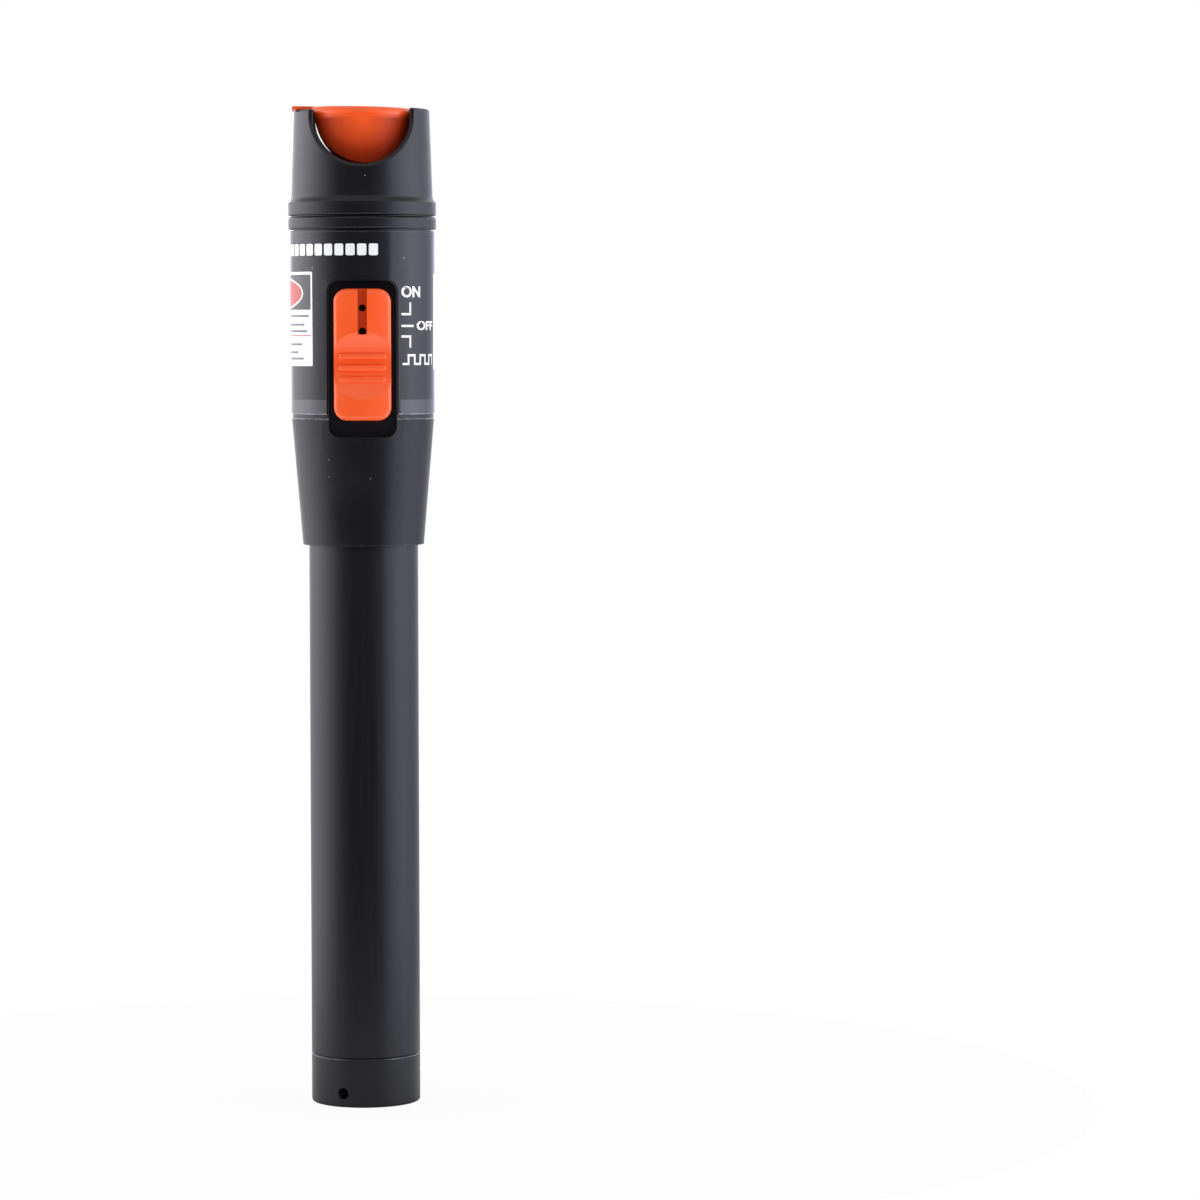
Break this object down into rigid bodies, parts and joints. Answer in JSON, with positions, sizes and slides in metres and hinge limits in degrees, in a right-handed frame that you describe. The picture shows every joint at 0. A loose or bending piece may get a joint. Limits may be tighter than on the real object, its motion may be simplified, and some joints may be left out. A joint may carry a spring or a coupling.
{
  "type": "visual fault locator",
  "caption": "Pen-shaped fibre-optic light source with a slotted nose hood, orange flip lid, orange thumb slider, tapered grip and screw-on tail cap.",
  "frame": {"origin": "centre of the tail cap's flat end, which the pen stands on", "axes": "+Z along the pen towards the nose, -Y towards the thumb slider, +X towards the lid hinge"},
  "size_m": [0.0262, 0.0264, 0.1766],
  "materials": {
    "black_plastic": "satin black moulded plastic",
    "orange_plastic": "satin orange moulded plastic",
    "label_film": "semi-gloss printed black film",
    "anodised_tube": "satin black anodised",
    "cell_jacket": "plain printed jacket",
    "contact_metal": "plated contact metal",
    "spring_steel": "plated spring wire",
    "insulator_plastic": "natural insulating plastic",
    "board_laminate": "green circuit board",
    "component_black": "moulded component body",
    "switch_metal": "pressed switch case",
    "switch_phenolic": "phenolic switch base",
    "module_brass": "turned brass",
    "adapter_nickel": "nickel-plated turned brass",
    "sleeve_ceramic": "polished white ceramic",
    "lens_glass": "coated optical glass",
    "diode_metal": "gold-plated steel can",
    "seal_rubber": "black rubber",
    "pin_steel": "steel"
  },
  "bodies": {
    "pen": {"cell_rear": "cell_jacket", "cell_front": "cell_jacket", "barrel_tube": "anodised_tube", "front_contact": "contact_metal", "contact_insulator": "insulator_plastic", "ground_clip": "contact_metal", "housing": "black_plastic", "label_film": "label_film", "switch_case": "switch_metal", "switch_base": "switch_phenolic", "switch_pins": "contact_metal", "circuit_board": "board_laminate", "driver_chip": "component_black", "trimmer": "component_black", "power_coil": "component_black", "capacitors": "component_black", "resistors": "component_black", "laser_holder": "module_brass", "laser_diode": "diode_metal", "focus_lens": "lens_glass", "lens_ring": "module_brass", "ferrule_stop": "contact_metal", "fibre_adapter": "adapter_nickel", "ferrule_sleeve": "sleeve_ceramic", "front_bulkhead": "black_plastic", "nose_hood": "black_plastic", "hinge_pin": "pin_steel"},
    "lid": {"flip_lid": "orange_plastic"},
    "slider": {"slide_knob": "orange_plastic", "switch_stem": "component_black"},
    "tail_carrier": {"tail_spring": "spring_steel", "tail_contact": "contact_metal"},
    "tail_end": {"tail_cap": "anodised_tube", "seal_ring": "seal_rubber"}
  },
  "joints": [
    {"name": "lid_swing", "type": "hinge", "parent": "pen", "child": "lid", "pos_m": [0.0095, 0, 0.17525], "axis": [0, 1, 0], "range_deg": [0, 95]},
    {"name": "mode_slide", "type": "slide", "parent": "pen", "child": "slider", "axis": [0, 0, 1], "range_m": [-0.0029, 0.0013]},
    {"name": "tail_travel", "type": "slide", "parent": "pen", "child": "tail_carrier", "axis": [0, 0, -1], "range_m": [0, 0.007]},
    {"name": "tail_turn", "type": "hinge", "parent": "tail_carrier", "child": "tail_end", "pos_m": [0, 0, 0.00872], "axis": [0, 0, -1], "range_deg": [0, 1980]}
  ],
  "couplings": [
    {"joint": "tail_travel", "follows": "tail_turn", "m_per_rad": 0.00019894}
  ]
}
